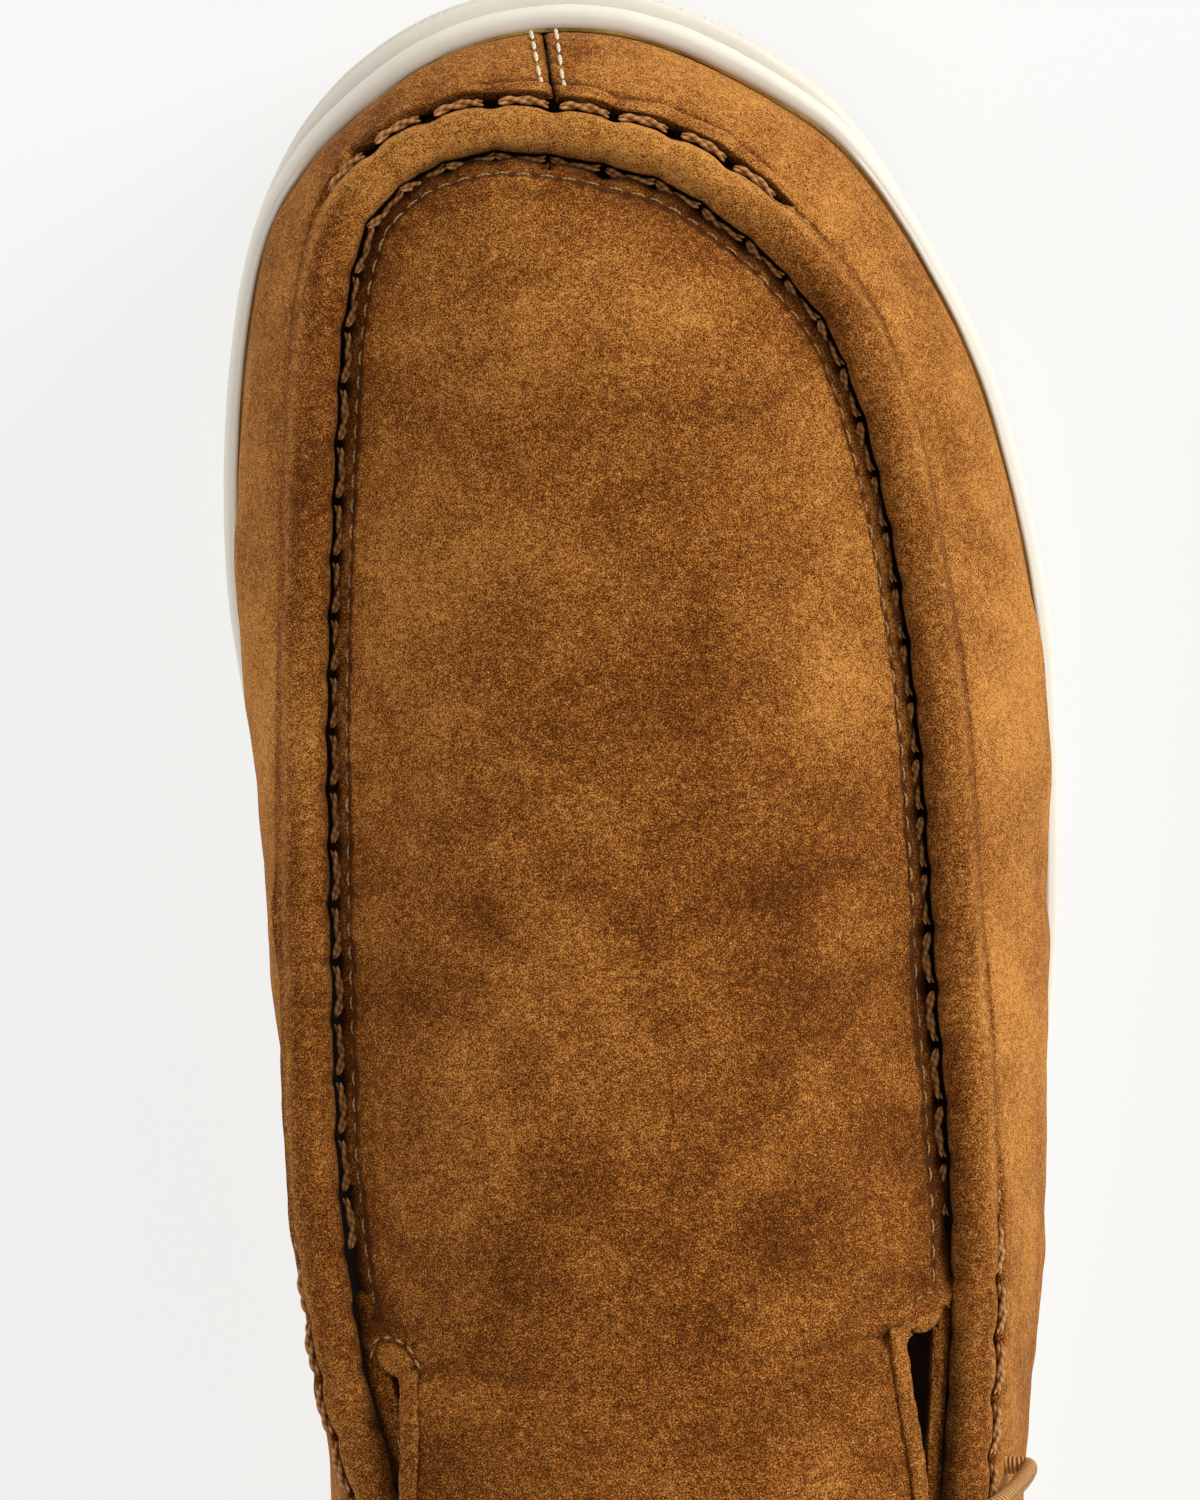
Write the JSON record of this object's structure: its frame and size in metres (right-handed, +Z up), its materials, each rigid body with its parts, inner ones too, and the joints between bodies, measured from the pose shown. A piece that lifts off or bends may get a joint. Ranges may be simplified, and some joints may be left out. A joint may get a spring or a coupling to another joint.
{
  "type": "moccasin",
  "caption": "Right-foot casual moccasin with a raised seam roll round the plug, a slit tongue, an elastic lace crossing it, a padded collar and a cup sole.",
  "frame": {"origin": "on the ground, under the middle of the shoe's length and width", "axes": "+Z up, +Y from the toe to the heel, +X towards the foot's medial side"},
  "size_m": [0.1107, 0.302, 0.1185],
  "materials": {
    "nubuck": "tan nubuck with a fine nap",
    "roll_leather": "smoother tan nubuck",
    "lining": "soft pigskin-like lining",
    "stiffener": "fibre board",
    "foam": "open foam and cord",
    "sole_rubber": "cream moulded rubber, satin",
    "tread_rubber": "gum rubber",
    "lace_cord": "braided elastic cord",
    "steel": "antiqued steel"
  },
  "bodies": {
    "shoe": {"cupsole": "sole_rubber", "forefoot_tread": "tread_rubber", "heel_tread": "tread_rubber", "shank": "steel", "insole_board": "stiffener", "footbed": "lining", "vamp_medial": "nubuck", "vamp_lateral": "nubuck", "quarter_medial": "nubuck", "quarter_lateral": "nubuck", "heel_strip": "nubuck", "toe_puff": "stiffener", "heel_counter": "stiffener", "eyelet_medial_front": "steel", "eyelet_lateral_front": "steel", "eyelet_medial_rear": "steel", "eyelet_lateral_rear": "steel", "vamp_lining": "lining", "quarter_lining": "lining", "collar_foam": "foam", "roll_cover": "roll_leather", "roll_cord": "foam", "collar_binding": "roll_leather", "plug": "nubuck", "plug_lining": "lining", "slit_binding_medial": "roll_leather", "slit_binding_lateral": "roll_leather", "lace": "lace_cord"},
    "tongue": {"tongue": "nubuck", "tongue_lining": "lining"}
  },
  "joints": [
    {"name": "tongue_fold", "type": "hinge", "parent": "shoe", "child": "tongue", "pos_m": [0.005, 0.0145, 0.084], "axis": [1, 0, 0], "range_deg": [-16, 0], "stiffness_Nm_per_rad": 0.15, "springref_deg": 4.58}
  ]
}
